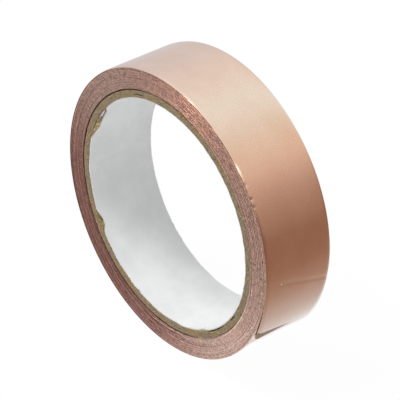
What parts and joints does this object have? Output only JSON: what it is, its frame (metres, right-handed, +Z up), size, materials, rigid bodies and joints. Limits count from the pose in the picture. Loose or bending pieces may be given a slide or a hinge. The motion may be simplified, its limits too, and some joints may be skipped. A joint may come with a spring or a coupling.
{
  "type": "copper foil tape roll",
  "caption": "Roll of adhesive-backed copper foil tape wound on a white-lined paperboard core, with a slanted free end that lifts off the roll.",
  "frame": {"origin": "centre of the core's bore, half way across the tape's width", "axes": "+Y along the bore, away from the side that is seen; +Z up, with the roll standing on its rim; +X towards the free end of the tape"},
  "size_m": [0.0964, 0.0254, 0.0963],
  "materials": {
    "copper_foil": "smooth satin copper foil",
    "adhesive": "clear acrylic adhesive, tan where it shows copper",
    "release_paper": "thin glassine release paper",
    "core_board": "raw grey-brown coreboard",
    "liner_paper": "matt white paper"
  },
  "bodies": {
    "roll": {"core_white_liner": "liner_paper", "core_board_ply_1": "core_board", "core_board_ply_2": "core_board", "core_board_ply_3": "core_board", "core_board_ply_4": "core_board", "core_board_ply_5": "core_board", "wound_release_liner": "release_paper", "wound_adhesive": "adhesive", "wound_copper_foil": "copper_foil", "outer_turn_foil": "copper_foil"},
    "tape_end_1": {"tail_adhesive_1": "adhesive", "tail_foil_1": "copper_foil"},
    "tape_end_2": {"tail_adhesive_2": "adhesive", "tail_foil_2": "copper_foil"},
    "tape_end_3": {"tail_adhesive_3": "adhesive", "tail_foil_3": "copper_foil"},
    "tape_end_4": {"tail_adhesive_4": "adhesive", "tail_foil_4": "copper_foil"},
    "liner_end_1": {"tail_liner_1": "release_paper"},
    "liner_end_2": {"tail_liner_2": "release_paper"},
    "liner_end_3": {"tail_liner_3": "release_paper"},
    "liner_end_4": {"tail_liner_4": "release_paper"}
  },
  "joints": [
    {"name": "tail_lift", "type": "hinge", "parent": "roll", "child": "tape_end_1", "pos_m": [0.04778, 0, 0.00671], "axis": [0, -1, 0], "range_deg": [0, 24]},
    {"name": "tail_bend_2", "type": "hinge", "parent": "tape_end_1", "child": "tape_end_2", "pos_m": [0.04826, 0, -0.00114], "axis": [0, -1, 0], "range_deg": [0, 24]},
    {"name": "tail_bend_3", "type": "hinge", "parent": "tape_end_2", "child": "tape_end_3", "pos_m": [0.0475, 0, -0.00898], "axis": [0, -1, 0], "range_deg": [0, 24]},
    {"name": "tail_bend_4", "type": "hinge", "parent": "tape_end_3", "child": "tape_end_4", "pos_m": [0.04553, 0, -0.01661], "axis": [0, -1, 0], "range_deg": [0, 24]},
    {"name": "liner_lift", "type": "hinge", "parent": "roll", "child": "liner_end_1", "pos_m": [0.04767, 0, 0.0067], "axis": [0, -1, 0], "range_deg": [0, 12]},
    {"name": "liner_bend_2", "type": "hinge", "parent": "liner_end_1", "child": "liner_end_2", "pos_m": [0.04815, 0, -0.00114], "axis": [0, -1, 0], "range_deg": [0, 12]},
    {"name": "liner_bend_3", "type": "hinge", "parent": "liner_end_2", "child": "liner_end_3", "pos_m": [0.0474, 0, -0.00896], "axis": [0, -1, 0], "range_deg": [0, 12]},
    {"name": "liner_bend_4", "type": "hinge", "parent": "liner_end_3", "child": "liner_end_4", "pos_m": [0.04543, 0, -0.01657], "axis": [0, -1, 0], "range_deg": [0, 12]}
  ],
  "couplings": [
    {"joint": "tail_bend_2", "follows": "tail_lift", "ratio": 1},
    {"joint": "tail_bend_3", "follows": "tail_lift", "ratio": 1},
    {"joint": "tail_bend_4", "follows": "tail_lift", "ratio": 1},
    {"joint": "liner_lift", "follows": "tail_lift", "ratio": 0.5},
    {"joint": "liner_bend_2", "follows": "tail_lift", "ratio": 0.5},
    {"joint": "liner_bend_3", "follows": "tail_lift", "ratio": 0.5},
    {"joint": "liner_bend_4", "follows": "tail_lift", "ratio": 0.5}
  ]
}
